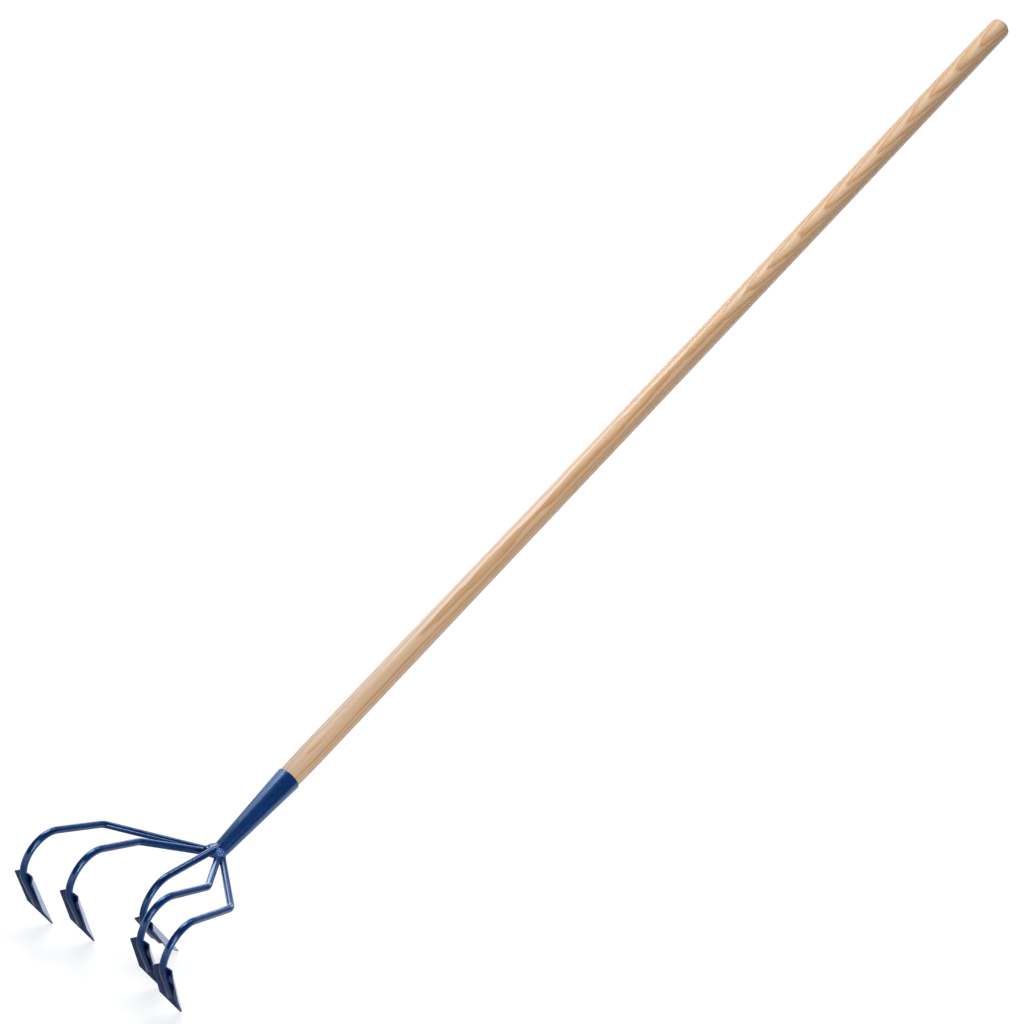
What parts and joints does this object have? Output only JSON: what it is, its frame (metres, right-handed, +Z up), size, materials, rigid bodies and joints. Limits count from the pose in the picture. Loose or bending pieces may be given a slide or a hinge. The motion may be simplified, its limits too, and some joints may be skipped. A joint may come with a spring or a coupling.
{
  "type": "hand cultivator",
  "caption": "Long-handled garden cultivator: pale lacquered wooden handle in a blue tapered steel socket, with bent rod tines that fan out and end in folded, pointed shares",
  "frame": {"origin": "centre of the bounding box on the ground, with the share tips on Z = 0", "axes": "+X is the worker's left, across the tines; +Y runs back to the worker; +Z is up, with the handle rising at 43.3 degrees as the tool works"},
  "size_m": [0.2246, 1.3366, 1.1945],
  "materials": {
    "lacquered_wood": "clear gloss lacquer over pale straight-grained wood",
    "blue_coat": "glossy dark blue powder coat on mild steel",
    "coated_weld": "weld metal under the same blue coat",
    "zinc": "bright zinc plate"
  },
  "bodies": {
    "root": {"handle": "lacquered_wood", "socket": "blue_coat", "socket_screw": "zinc", "hub_weld": "coated_weld", "tine_right_outer": "blue_coat", "share_right_outer": "blue_coat", "bead_right_outer_left": "coated_weld", "bead_right_outer_right": "coated_weld", "tine_right_inner": "blue_coat", "share_right_inner": "blue_coat", "bead_right_inner_left": "coated_weld", "bead_right_inner_right": "coated_weld", "tine_middle": "blue_coat", "share_middle": "blue_coat", "bead_middle_left": "coated_weld", "bead_middle_right": "coated_weld", "tine_left_inner": "blue_coat", "share_left_inner": "blue_coat", "bead_left_inner_left": "coated_weld", "bead_left_inner_right": "coated_weld", "tine_left_outer": "blue_coat", "share_left_outer": "blue_coat", "bead_left_outer_left": "coated_weld", "bead_left_outer_right": "coated_weld"}
  },
  "joints": []
}
